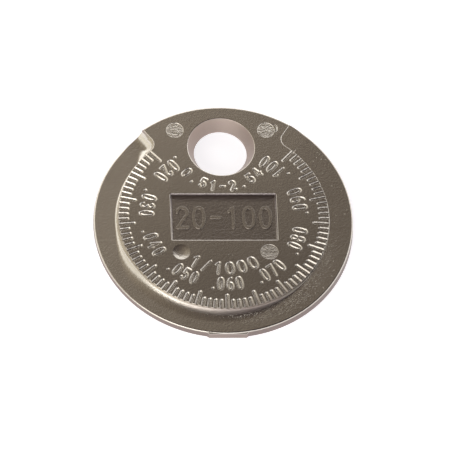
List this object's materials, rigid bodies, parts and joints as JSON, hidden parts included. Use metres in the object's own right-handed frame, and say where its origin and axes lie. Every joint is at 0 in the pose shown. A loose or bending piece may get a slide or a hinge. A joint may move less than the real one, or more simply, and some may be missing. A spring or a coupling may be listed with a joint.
{
  "type": "gap gauge",
  "caption": "Coin-shaped spark plug gap gauge: a cast disc whose edge is a rising ramp round a raised, graduated hub, with a tapered hole.",
  "frame": {"origin": "middle of the disc's plain back face, which it rests on", "axes": "+Z out of the graduated face, +Y from the middle of the disc to the hole at 12 o'clock, +X to the right when the face is read"},
  "size_m": [0.0444, 0.0445, 0.0028],
  "materials": {
    "nickel_plate": "satin nickel plate on cast zinc, fine cast grain"
  },
  "bodies": {
    "root": {"gauge_disc": "nickel_plate"}
  },
  "joints": []
}
